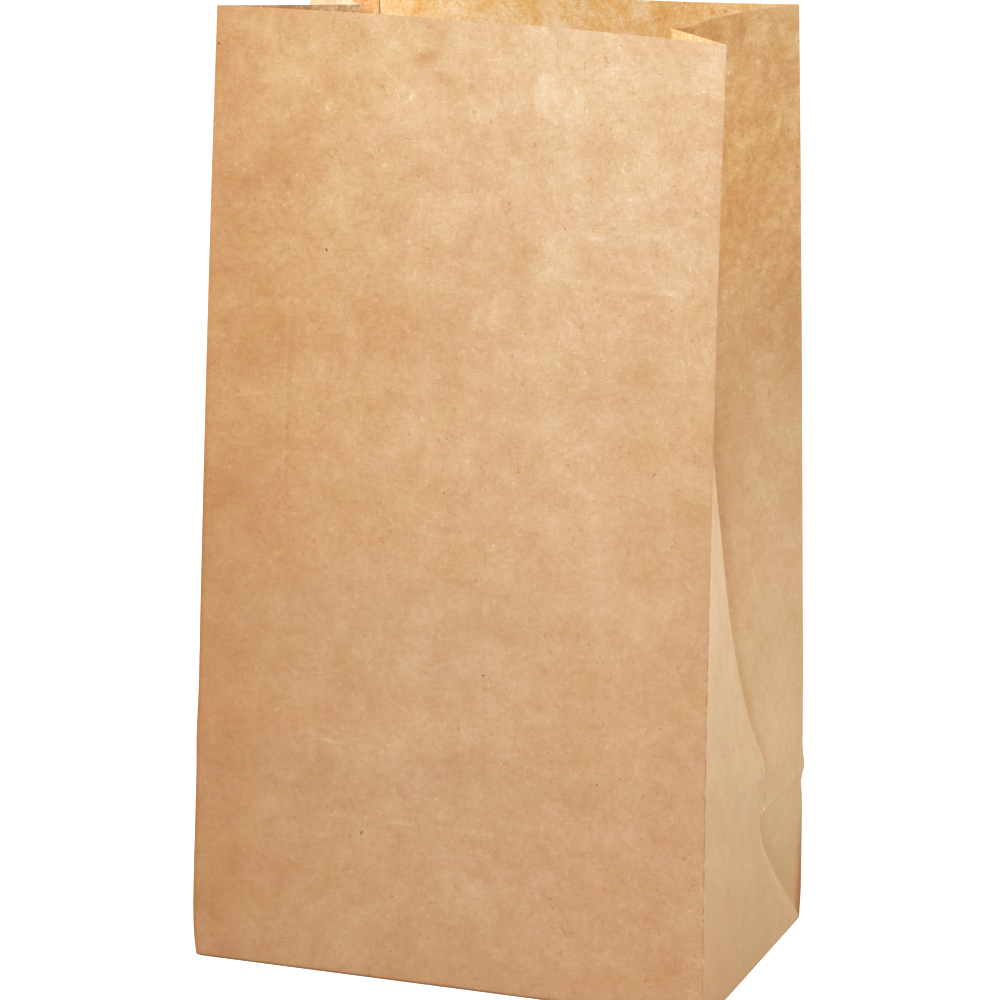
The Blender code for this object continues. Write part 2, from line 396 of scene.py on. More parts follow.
def corner(bag, side, back, height):
    """Corner crease at one height: the bowed panel stands narrower, the back has a ridge
    over the cross crease, and the left side swells a little just above the bottom."""
    sagitta = panel_bow(bag.back_bow if back else bag.front_bow, height)
    narrow = 8 * sagitta ** 2 / (3 * bag.width) if side == (1 if back else -1) else 0.0
    out = 0.0
    if side < 0:
        bump = height / SWELL_HEIGHT
        out = BASE_SWELL * bump * np.exp(1 - bump)
    elif back:
        notch = bell(height, half_depth(bag) - NOTCH_DROP, NOTCH_REACH)
        out = PUSH * (smooth(height / 0.01) + 0.6 * height / bag.height - notch)
    x = side * (bag.width / 2 - narrow + out)
    span = half_span(bag, side, height)
    if back:
        away = height - half_depth(bag)
        tent = np.maximum(0.0, 1 - np.maximum(away / RIDGE_ABOVE, -away / RIDGE_BELOW))
        return x, side_centre(bag, side, height) + span + CREASE_RIDGE * tent
    return x, side_centre(bag, side, height) - span


def panel_points(bag, back, distance, height):
    """Points of the front or back panel: a straight line between its two creases, less a
    parabola of the bow, and lowered by what the bowed paper's slope takes up."""
    share = distance / bag.width
    left_x, left_y = corner(bag, -1, back, height)
    right_x, right_y = corner(bag, 1, back, height)
    bow = panel_bow(bag.back_bow if back else bag.front_bow, height)
    inward = 4 * share * (1 - share) * bow
    x = left_x + (right_x - left_x) * share
    y = left_y + (right_y - left_y) * share + (-inward if back else inward)
    z = floor_height(bag) + height - inward ** 2 / (2 * np.maximum(height, 1e-6))
    return np.stack([x, y, z], -1)


def corner_dent(bag, reach, height):
    """Inward dent of the back corner triangle: a parabola along its diagonal that is
    steeper at the cross crease, a straight run back to the corner crease and a quick
    fade in front of the diagonal."""
    along = np.clip(height / half_depth(bag), 0, 1)
    run = np.where(
        reach <= height,
        reach / np.maximum(height, 1e-6),
        bell(reach, height, DENT_FADE),
    )
    return CORNER_DENT * 4 * along * (1 - along) * (0.55 + 0.9 * along) * run


def gusset_points(bag, side, back, reach, height):
    """Points of a gusset half: below the apex it runs straight between the two corner
    creases and swells by the smaller of reach and height, above it runs straight from
    the corner crease to the fold, and the back half is bent at the mouth."""
    apex = half_depth(bag)
    corner_x, corner_y = corner(bag, side, back, height)
    centre = side_centre(bag, side, height)
    share = reach / apex
    swell = APEX_SWELL * np.minimum(reach, height) / apex
    dent = corner_dent(bag, reach, height) if back else 0.0
    heel = 0.0
    if side > 0:
        from_front = (bag.depth - reach if back else reach) / bag.depth
        heel = HEEL_SWELL * (1 - from_front) * (1 - np.exp(-from_front / HEEL_START))
        heel = heel * bell(height, 0.0, HEEL_HEIGHT)
    other_x = corner(bag, side, not back, height)[0]
    low_x = corner_x + (other_x - corner_x) * reach / bag.depth
    low_x = low_x + side * (swell - dent + heel)
    inset = fold_inset(bag, side, height)
    rise = np.maximum(height - apex, 1e-6)
    drop = FOLD_DROP * (inset + APEX_SWELL) ** 2 / (2 * rise) * share
    fold_x = side * (bag.width / 2 - inset)
    low = height <= apex
    x = np.where(low, low_x, corner_x + (fold_x - corner_x) * share)
    y = corner_y + (centre - corner_y) * share
    z = floor_height(bag) + height - np.where(low, 0.0, drop)
    if back:
        away = apex - reach
        run_x, run_y = corner_x - fold_x, corner_y - centre
        length = np.hypot(run_x, run_y)
        arch = np.sin(math.pi * np.clip((away - BEND_START) / (apex - BEND_START), 0, 1))
        near = away / BEND_PLACE * np.exp(1 - away / BEND_PLACE)
        amount = (BEND_IN * arch - BEND_OUT * near) * above_apex(bag, height) ** BEND_POWER
        if side < 0:
            amount = amount * 0.5
        x = x - side * run_y / length * amount
        y = y + side * run_x / length * amount
    return np.stack(np.broadcast_arrays(x, y, z), -1)


def close_ends(length, steps):
    """Even places from 0 to length, with two close ones beside each end."""
    even = np.linspace(0, length, steps + 1)[1:-1]
    start = [0, ROUND_INNER, ROUND_OUTER]
    return np.concatenate([start, even, [length - s for s in reversed(start)]])


def round_crease(points, middle, axis):
    """Rounds a crease: the three lines about it follow a quadratic curve, from the line
    two before it to the line two after it, with the crease as its control point."""
    lines = np.moveaxis(points, axis, 0)
    first, peak, last = (lines[middle + k].copy() for k in (-2, 0, 2))
    span = 2 * ROUND_OUTER
    for step, place in ((-1, -ROUND_INNER), (0, 0.0), (1, ROUND_INNER)):
        t = (place + ROUND_OUTER) / span
        lines[middle + step] = (1 - t) ** 2 * first + 2 * t * (1 - t) * peak + t * t * last


def grid_normals(points):
    """Unit normals of a grid: the mean of the unit normals of the cells about a point."""
    across = points[1:, :-1] - points[:-1, 1:]
    along = points[1:, 1:] - points[:-1, :-1]
    cells = np.cross(across, along)
    cells /= np.maximum(np.linalg.norm(cells, axis=-1, keepdims=True), 1e-12)
    padded = np.pad(cells, ((1, 1), (1, 1), (0, 0)), mode="edge")
    total = padded[:-1, :-1] + padded[1:, :-1] + padded[:-1, 1:] + padded[1:, 1:]
    return total / np.maximum(np.linalg.norm(total, axis=-1, keepdims=True), 1e-12)


def ordered(cells, flip):
    """Cells with their corners in turned order, where they look the other way."""
    return cells[:, ::-1] if flip else cells


def paper_shell(name, points, thickness, sheet, facts, fold_rise=None, fold_fall=None,
                creased=None):
    """Closed sheet of paper about a grid of points: an outer face half a thickness along
    the normals, an inner face half a thickness against them, and a sharp rim all round.

    sheet gives the place on the flat paper, for the pattern. facts are named numbers per
    grid point. Cells in fold_rise and fold_fall are split along a fold.
    """
    columns, rows = points.shape[:2]
    normals = grid_normals(points)
    outer = points + normals * thickness / 2
    inner = points - normals * thickness / 2
    count = columns * rows
    number = np.arange(count).reshape(columns, rows)
    a, b = number[:-1, :-1], number[1:, :-1]
    c, d = number[1:, 1:], number[:-1, 1:]
    none = np.zeros(a.shape, bool)
    rise = none if fold_rise is None else fold_rise
    fall = none if fold_fall is None else fold_fall
    plain = ~(rise | fall)
    quads = np.stack([a[plain], b[plain], c[plain], d[plain]], 1)
    triangles = np.concatenate([
        np.stack([corner[split] for corner in three], 1) for split, three in (
            (rise, (a, b, c)), (rise, (a, c, d)), (fall, (a, b, d)), (fall, (b, c, d)))
    ])
    ends = []
    for line, flip in ((number[:, -1], False), (number[:, 0], True),
                       (number[-1], True), (number[0], False)):
        strip = np.stack([line[:-1], line[1:], line[1:] + count, line[:-1] + count], 1)
        ends.append(ordered(strip, flip))
    faces = [quads, ordered(quads + count, True), *ends]
    faces = np.concatenate(faces).tolist()
    faces += triangles.tolist() + ordered(triangles + count, True).tolist()

    mesh = bpy.data.meshes.new(name)
    places = np.concatenate([outer.reshape(-1, 3), inner.reshape(-1, 3)])
    mesh.from_pydata(places.tolist(), [], faces)
    if mesh.validate():
        raise RuntimeError(name + " has faces that Blender had to repair")
    mesh.shade_smooth()
    corners = np.empty(len(mesh.loops), np.int32)
    mesh.loops.foreach_get("vertex_index", corners)
    flat = np.concatenate([sheet.reshape(-1, 2)] * 2)[corners]
    layer = mesh.uv_layers.new(name="sheet")
    layer.uv.foreach_set("vector", flat.astype(np.float32).ravel())
    for fact, values in facts.items():
        both = values if isinstance(values, tuple) else (values, values)
        data = np.concatenate([np.broadcast_to(v, (columns, rows)).ravel() for v in both])
        mesh.attributes.new(fact, "FLOAT", "POINT").data.foreach_set(
            "value", data.astype(np.float32))
    rim = np.ones((columns, rows), bool)
    rim[1:-1, 1:-1] = False
    sharpen(mesh, rim, creased)
    return mesh


def sharpen(mesh, *choices):
    """Marks as sharp the edges whose two ends are both in one of the choices of points."""
    pairs = np.empty(2 * len(mesh.edges), np.int32)
    mesh.edges.foreach_get("vertices", pairs)
    sharp = np.zeros(len(mesh.edges), bool)
    for choice in choices:
        if choice is not None:
            sharp |= np.tile(choice.ravel(), 2)[pairs].reshape(-1, 2).all(1)
    mark = mesh.attributes.get("sharp_edge")
    if mark is None:
        mark = mesh.attributes.new("sharp_edge", "BOOLEAN", "EDGE")
    mark.data.foreach_set("value", sharp)


def wall_places(bag):
    """Places of the wall's columns across a gusset half from its corner crease, and
    across the front, the lap and the back from the left crease, then the rows' heights,
    with the hem's as negative ones."""
    apex = half_depth(bag)
    gusset = close_ends(apex, GUSSET_STEPS)
    front = close_ends(bag.width, PANEL_STEPS)
    outer_edge = bag.seam_edge - bag.seam_lap
    lap = np.concatenate([
        [0, ROUND_INNER, ROUND_OUTER],
        np.linspace(0, bag.seam_edge, LAP_STEPS + 1)[1:-1],
        bag.seam_edge - np.array(SEAM_COLUMNS),
    ])
    back = np.concatenate([
        outer_edge + np.array(SEAM_COLUMNS[::-1]),
        np.linspace(outer_edge, bag.width, BACK_STEPS + 1)[1:-1],
        bag.width - np.array([ROUND_OUTER, ROUND_INNER, 0.0]),
    ])
    above = apex + np.array([ROUND_INNER, ROUND_OUTER])
    high = np.linspace(apex + ROUND_OUTER, bag.height, RISE_STEPS + 1)[1:]
    hem = -np.array([*HEM_ROWS, ROUND_OUTER, ROUND_INNER])
    rows = np.concatenate([hem, gusset, above, high])
    return gusset, front, lap, back, rows


def slope_of_tone(numbers, a, b):
    """A plane with a bend each way: numbers times 1, a, b, a squared, b squared and ab."""
    one, first, second, first_bend, second_bend, twist = numbers
    bends = first_bend * a * a + second_bend * b * b
    return one + first * a + second * b + bends + twist * a * b


def wall_tone_and_painted_shade(bag, kind, place, along, up):
    """Depth of tone and strength of mottling, each outside and inside, and how greyed
    and how golden the outside is.

    Each part has a sloping tone in its own distance and height, as shares, which is partly
    painted light and shade. Bands of painted shade and light lie on the front, the right
    gusset and the inner faces, and clouds of three sizes lie over all of them.
    """
    panel = np.isin(kind, (LAP, FRONT, BACK))
    wide = (place / np.where(panel, bag.width, half_depth(bag)))[:, None]
    wide = np.broadcast_to(wide, up.shape)
    level = up / bag.height
    front = (kind == FRONT)[:, None]
    near_half = (kind == RIGHT_FRONT)[:, None]
    far_half = (kind == RIGHT_BACK)[:, None]
    gusset = near_half | far_half

    depth = np.empty(level.shape)
    for part, numbers in TONES_AND_PAINTED_SHADE.items():
        chosen = kind == part
        depth[chosen] = slope_of_tone(numbers, wide[chosen], level[chosen])
    # Painted shade and light on the front: deeper along the left edge at middle heights, paler
    # at the right low down.
    left_painted_shade = np.exp(-wide / 0.07) * smooth((level - 0.15) / 0.15)
    depth = depth + front * (
        0.09 * left_painted_shade * smooth((0.62 - level) / 0.15)
        - 0.10 * smooth((wide - 0.8) / 0.2) * smooth((0.33 - level) / 0.15))
    for at, height, size, change in BLOTCHES:
        away = ((wide * bag.width - at) ** 2 + (up - height) ** 2) / size ** 2
        depth = depth + front * change * np.exp(-away)

    # Below the apex the two halves are one face, so their tones meet at its middle.
    centre = gusset * 0.5 * smooth((wide - 0.5) / 0.5) * smooth((0.19 - level) / 0.02)
    other = np.where(near_half, slope_of_tone(TONES_AND_PAINTED_SHADE[RIGHT_BACK], wide, level),
                     slope_of_tone(TONES_AND_PAINTED_SHADE[RIGHT_FRONT], wide, level))
    depth = depth * (1 - centre) + other * centre
    # Painted shade and light on the right gusset: deeper about two thirds up and low down, paler
    # near the top; on the back half deeper in a strip just under the mouth and in a band at four
    # fifths of the height, paler towards the back crease above halfway; on the front half paler
    # about halfway up.
    depth = depth + gusset * (
        0.16 * bell(level, 0.66, 0.17) - 0.08 * smooth((level - 0.82) / 0.1)
        + 0.07 * smooth((0.16 - level) / 0.12)
        + 0.012 * smooth((level - 0.05) / 0.05) * smooth((0.32 - level) / 0.06))
    depth = depth + far_half * (
        0.22 * smooth((level - 0.972) / 0.01) * smooth((wide - 0.4) / 0.3)
        - 0.055 * smooth((0.85 - wide) / 0.3) * smooth((level - 0.45) / 0.1)
        + 0.06 * bell(level, 0.78, 0.06))
    depth = depth - near_half * 0.09 * bell(level, 0.46, 0.08)

    on_gusset = 0.60 + 0.25 * smooth(level / 0.3) + 0.35 * smooth((level - 0.3) / 0.2)
    on_gusset = on_gusset + 0.85 * smooth((level - 0.5) / 0.4)
    mottle = np.where(gusset, on_gusset, 1.12 + 0.27 * smooth((level - 0.35) / 0.5))
    clouds = (0.017 * ripples(along, up, 0.050, 31) + 0.016 * ripples(along, up, 0.021, 32)
              + 0.014 * ripples(along, up, 0.0095, 33))
    patches = 0.055 * ripples(along, up, 0.0075, 34) + 0.040 * ripples(along, up, 0.0042, 35)
    outer = depth + clouds * mottle + gusset * patches * smooth((level - 0.55) / 0.3)
    # Painted light on the inner faces: the back's is paler about the seam's inner edge, where
    # light shines through one layer only, and the left front gusset half's, which lies in shade,
    # is a little deeper.
    glow = bell(place, bag.seam_edge, 0.010) * (kind == BACK)
    inner = 1.0 + 5.0 * clouds + (0.02 * (kind == LEFT_FRONT) - 0.35 * glow)[:, None]

    low = smooth((0.42 - level) / 0.12)
    front_low = smooth((0.5 - level) / 0.12) * smooth((0.85 - wide) / 0.35)
    grey = 0.53 + 0.16 * bell(level, 0.58, 0.15) - 0.45 * smooth((level - 0.62) / 0.2)
    grey = gusset * (np.where(near_half, 0.55, grey) + 0.24 * low)
    grey = grey + front * 0.28 * front_low
    left = smooth((0.5 - wide) / 0.3) * smooth((level - 0.45) / 0.15)
    left = left * smooth((1.1 - level) / 0.1)
    gold = 0.30 * smooth((level - 0.15) / 0.55) + 0.30 * left
    gold = gold + 0.12 * smooth((level - 0.85) / 0.1) + 0.09 * front_low
    # More golden towards the back and low down; the upper part, most of all the back half, is
    # painted golden for the light bounced and shone through in the gusset's groove.
    from_front = np.where(near_half, 0.5 * wide, 1 - 0.5 * wide)
    side_gold = (0.06 + 0.14 * smooth((from_front - 0.3) / 0.4) + 0.15 * low
                 + 0.26 * far_half * smooth((level - 0.42) / 0.12)
                 + 0.60 * smooth((level - 0.6) / 0.3))
    gold = np.where(gusset, side_gold, gold)
    return (outer, inner), (mottle, np.full(level.shape, 4.2)), grey, gold


def make_wall(bag):
    """The wall: one sheet from the seam's inner edge round the left gusset, the front,
    the right gusset and the back to the seam's outer edge, each part from its own law."""
    apex = half_depth(bag)
    gusset, front, lap, back, rows = wall_places(bag)
    height = np.maximum(rows, 0.0)[None, :]

    def column(places):
        return places[:, None]

    parts = [
        panel_points(bag, True, column(lap[::-1]), height),
        gusset_points(bag, -1, True, column(gusset), height)[1:],
        gusset_points(bag, -1, False, column(gusset[::-1]), height)[1:],
        panel_points(bag, False, column(front), height)[1:],
        gusset_points(bag, 1, False, column(gusset), height)[1:],
        gusset_points(bag, 1, True, column(gusset[::-1]), height)[1:],
        panel_points(bag, True, column(back[::-1]), height)[1:],
    ]
    points = np.concatenate(parts)
    girth = np.cumsum(np.concatenate([
        [0.0], np.diff(-lap[::-1]), np.diff(gusset), np.diff(-gusset[::-1]),
        np.diff(front), np.diff(gusset), np.diff(-gusset[::-1]), np.diff(-back[::-1]),
    ]))
    reach = np.concatenate([
        -lap[::-1], gusset[1:], gusset[::-1][1:],
        -np.minimum(front, bag.width - front)[1:], gusset[1:], gusset[::-1][1:],
        -np.minimum(back, bag.width - back)[::-1][1:],
    ])
    places = [lap[::-1], gusset[1:], gusset[::-1][1:], front[1:], gusset[1:],
              gusset[::-1][1:], back[::-1][1:]]
    sizes = [len(p) for p in parts]
    starts = np.cumsum([0, *sizes])
    creases = starts[1:-1] - 1
    kind = np.repeat(np.arange(7), sizes)

    # The seam: the inner layer runs one layer further in.
    place = np.concatenate([lap[::-1], np.zeros(starts[-1] - len(lap))])
    outer_edge = bag.seam_edge - bag.seam_lap
    tuck = (bag.paper + LAYER_GAP) * smooth((place - outer_edge + TUCK_RUN) / TUCK_RUN)
    points[..., 1] -= tuck[:, None]

    # Unevenness, which fades out at the creases.
    near = np.minimum(np.abs(reach), np.abs(apex - np.maximum(reach, 0.0)))
    near = np.where(kind == LAP, lap[-1], near)
    risen = smooth((rows - CALM_START) / CALM_HEIGHT)[None, :]
    calm = smooth(near / CALM_REACH)[:, None] * risen
    diagonal = np.abs(reach[:, None] - rows[None, :])
    calm_below = smooth(np.abs(reach) / CALM_REACH)[:, None] * risen
    calm_below = calm_below * smooth(diagonal / CALM_REACH)
    calm = np.where((rows < apex)[None, :] & (reach > 0)[:, None], calm_below, calm)
    along, up = np.broadcast_arrays(girth[:, None], rows[None, :])
    bumps = bag.cockle * (
        ripples(along, up, 0.048, 11) + 0.30 * ripples(along, up, 0.014, 12)
        + 0.12 * ripples(along, up, 0.006, 13)
    )
    points = points + grid_normals(points) * (bumps * calm)[..., None]

    # The mouth's slant, which grows with the square of the height.
    middle, right, back_rise = MOUTH_TILT
    slant = middle + right * points[..., 0] + back_rise * points[..., 1]
    points[..., 2] += slant * (height / bag.height) ** 2

    # The hem turns in under the bag: the bottom outline scaled towards the middle.
    hem = int((rows < 0).sum())
    base = points[:, hem].copy()
    for row in range(hem):
        turn = -rows[row]
        scale = np.array([1 - 2 * turn / bag.width, 1 - 2 * turn / bag.depth, 1.0])
        points[:, row] = base * scale
    for crease in creases:
        round_crease(points, crease, 0)
    round_crease(points, hem, 1)
    behind = np.isin(kind, (LAP, LEFT_BACK, RIGHT_BACK, BACK))
    at_apex = int(np.argmin(np.abs(rows - apex)))
    back_part = points[behind].copy()
    round_crease(back_part, at_apex, 1)
    points[behind] = back_part

    # Cells of the gussets below the apex are split along their diagonals.
    low_rows = slice(hem, hem + len(gusset) - 1)
    rise = np.zeros((len(girth) - 1, len(rows) - 1), bool)
    fall = rise.copy()
    for first, split in ((0, rise), (1, fall), (3, rise), (4, fall)):
        split[creases[first]:creases[first + 1], low_rows] = True

    sheet = np.stack([along, up], -1)
    none = np.zeros((1, 1))
    # Painted shadow: the left front gusset half's inner face, which lies in shade, takes the
    # outer colour with a golden tint instead of the paler lining.
    painted_shadow = (kind == LEFT_FRONT)[:, None].astype(float)
    double = smooth((place - outer_edge + 0.0004) / 0.0008)[:, None]
    depth, mottle, grey, gold = wall_tone_and_painted_shade(bag, kind, np.concatenate(places), along, up)
    facts = {
        "inside": (none, 1 - painted_shadow),
        "depth": depth,
        "mottle": mottle,
        "grey": (grey, none),
        "gold": (gold, 0.60 * painted_shadow),
        "doubled": (none, double),
        "reach": reach[:, None],
        "rise": rows[None, :],
        "behind": behind[:, None].astype(float),
    }
    creased = (diagonal < 1e-9) & ((reach > 0) & behind)[:, None]
    creased &= ((rows > 0) & (rows <= apex + 1e-9))[None, :]
    return paper_shell("lunch_bag_wall", points, bag.paper, sheet, facts, rise, fall, creased)


def flat_facts(inside):
    """Facts of a plain piece: one even tone, far from any crease."""
    one = np.ones((1, 1))
    return {
        "inside": inside, "depth": 1.15 * one, "mottle": one, "grey": 0 * one,
        "gold": 0.24 * one, "doubled": 0 * one, "reach": -0.05 * one, "rise": 0.2 * one,
        "behind": 0 * one,
    }


def make_floor(bag):
    """The inner bottom: a flat grid a layer above the hem, raised by one layer over the
    two end tabs, whose free edges are a short slope."""
    x = np.linspace(-1, 1, FLOOR_STEPS[0] + 1) * (bag.width / 2 - FLOOR_ROOM)
    y = np.linspace(-1, 1, FLOOR_STEPS[1] + 1) * (bag.depth / 2 - FLOOR_ROOM)
    tab = bag.width / 2 - half_depth(bag)
    slopes = [side * tab + way * TAB_SLOPE for side in (-1, 1) for way in (-1, 1)]
    x = np.sort(np.concatenate([x, slopes]))
    across, deep = np.meshgrid(x, y, indexing="ij")
    step = bag.paper * smooth((np.abs(across) - tab + TAB_SLOPE) / (2 * TAB_SLOPE))
    calm = smooth((bag.width / 2 - np.abs(across)) / 0.02)
    calm = calm * smooth((bag.depth / 2 - np.abs(deep)) / 0.02)
    swell = FLOOR_SWELL * calm * (0.7 + 0.3 * ripples(across, deep, 0.04, 21))
    z = floor_height(bag) + bag.paper + LAYER_GAP + step + swell
    points = np.stack([across, deep, z], -1)
    sheet = np.stack([across + 0.9, deep + 0.4], -1)
    # The outer face of this sheet looks up, into the bag.
    facts = flat_facts((np.ones((1, 1)), np.zeros((1, 1))))
    return paper_shell("lunch_bag_floor", points, bag.paper, sheet, facts)


def make_flap(bag, name, back, level):
    """A bottom flap: a trapezoid from the bottom crease to past the middle, with sides at
    45 degrees, as wide at each row as the crease less twice the row's distance."""
    reach = bag.depth / 2 + bag.flap_lap / 2
    away = np.linspace(FLAP_START, reach, FLAP_STEPS[1] + 1)
    share = np.linspace(-1, 1, FLAP_STEPS[0] + 1)
    half = bag.width / 2 - FLAP_ROOM - away
    across = share[:, None] * half[None, :]
    sign = 1 if back else -1
    deep = np.broadcast_to(sign * (bag.depth / 2 - away)[None, :], across.shape)
    if back:
        across = across[::-1]
    z = np.full(across.shape, level)
    # Columns run so that the outer face looks down.
    points = np.stack([across, deep, z], -1)[::-1]
    sheet = np.stack([across[::-1] + 0.2, deep[::-1] - 0.3], -1)
    return paper_shell(name, points, bag.paper, sheet,
                       flat_facts((np.zeros((1, 1)), np.zeros((1, 1)))))


# ---- material


class Nodes:
    """Short names for the nodes and links of one material or world."""

    def __init__(self, block):
        block.use_nodes = True
        self.block = block
        self.tree = block.node_tree
        self.tree.nodes.clear()

    def add(self, kind, **settings):
        node = self.tree.nodes.new("ShaderNode" + kind)
        for key, value in settings.items():
            setattr(node, key, value)
        return node

    def put(self, socket, value):
        if isinstance(value, bpy.types.NodeSocket):
            self.tree.links.new(value, socket)
        else:
            socket.default_value = value

    def math(self, operation, first, second=0.0, third=0.0):
        node = self.add("Math", operation=operation)
        for socket, value in zip(node.inputs, (first, second, third)):
            self.put(socket, value)
        return node.outputs[0]

    def product(self, first, *others):
        for other in others:
            first = self.math("MULTIPLY", first, other)
        return first

    def total(self, first, *others):
        for other in others:
            first = self.math("ADD", first, other)
        return first

    def spot(self, x, y, half, width, turn, core):
        """Ellipse on the sheet: 1 within the core's share of it, down to 0 at its edge."""
        node = self.add("Mapping", vector_type="TEXTURE")
        node.inputs["Location"].default_value = (x, y, 0.0)
        node.inputs["Rotation"].default_value = (0.0, 0.0, turn)
        node.inputs["Scale"].default_value = (half, width, 1.0)
        self.put(node.inputs["Vector"], self.sheet)
        length = self.add("VectorMath", operation="LENGTH")
        self.put(length.inputs[0], node.outputs[0])
        return self.ramp(length.outputs["Value"], core, 1.0, 1.0, 0.0)

    def attribute(self, name):
        return self.add("Attribute", attribute_name=name).outputs["Fac"]

    def place(self, scale, shift=(0.0, 0.0, 0.0)):
        """Place on the flat sheet in metres, times scale and shifted."""
        node = self.add("Mapping")
        node.inputs["Scale"].default_value = scale
        node.inputs["Location"].default_value = shift
        self.put(node.inputs["Vector"], self.sheet)
        return node.outputs[0]

    def noise(self, scale, detail=2.0, shift=(0.0, 0.0, 0.0), distortion=0.0,
              roughness=0.5):
        node = self.add("TexNoise", noise_dimensions="2D")
        self.put(node.inputs["Vector"], self.place(scale, shift))
        node.inputs["Scale"].default_value = 1.0
        node.inputs["Detail"].default_value = detail
        node.inputs["Roughness"].default_value = roughness
        node.inputs["Distortion"].default_value = distortion
        return node.outputs["Fac"]

    def near(self, value, place, width):
        """1 where the value is at the place, down to 0 a width away from it."""
        away = self.math("ABSOLUTE", self.math("SUBTRACT", value, place))
        return self.ramp(away, 0.0, width, 1.0, 0.0)

    def fibres(self, scale, shift, width):
        """Short curly lines: where a swirled noise is near its middle, broken by another."""
        swirl = self.noise(scale, 1.0, shift, 1.6)
        broken = self.noise(tuple(1.3 * k for k in scale), 1.0, shift)
        return self.product(self.near(swirl, 0.5, width), self.ramp(broken, 0.50, 0.66))

    def ramp(self, value, low, high, out_low=0.0, out_high=1.0):
        node = self.add("MapRange", clamp=True, interpolation_type="SMOOTHSTEP")
        for socket, item in zip(node.inputs, (value, low, high, out_low, out_high)):
            self.put(socket, item)
        return node.outputs[0]

    def mix(self, amount, first, second, blend="MIX"):
        node = self.add("Mix", data_type="RGBA", blend_type=blend)
        self.put(node.inputs[0], amount)
        self.put(node.inputs[6], first)
        self.put(node.inputs[7], second)
        return node.outputs[2]


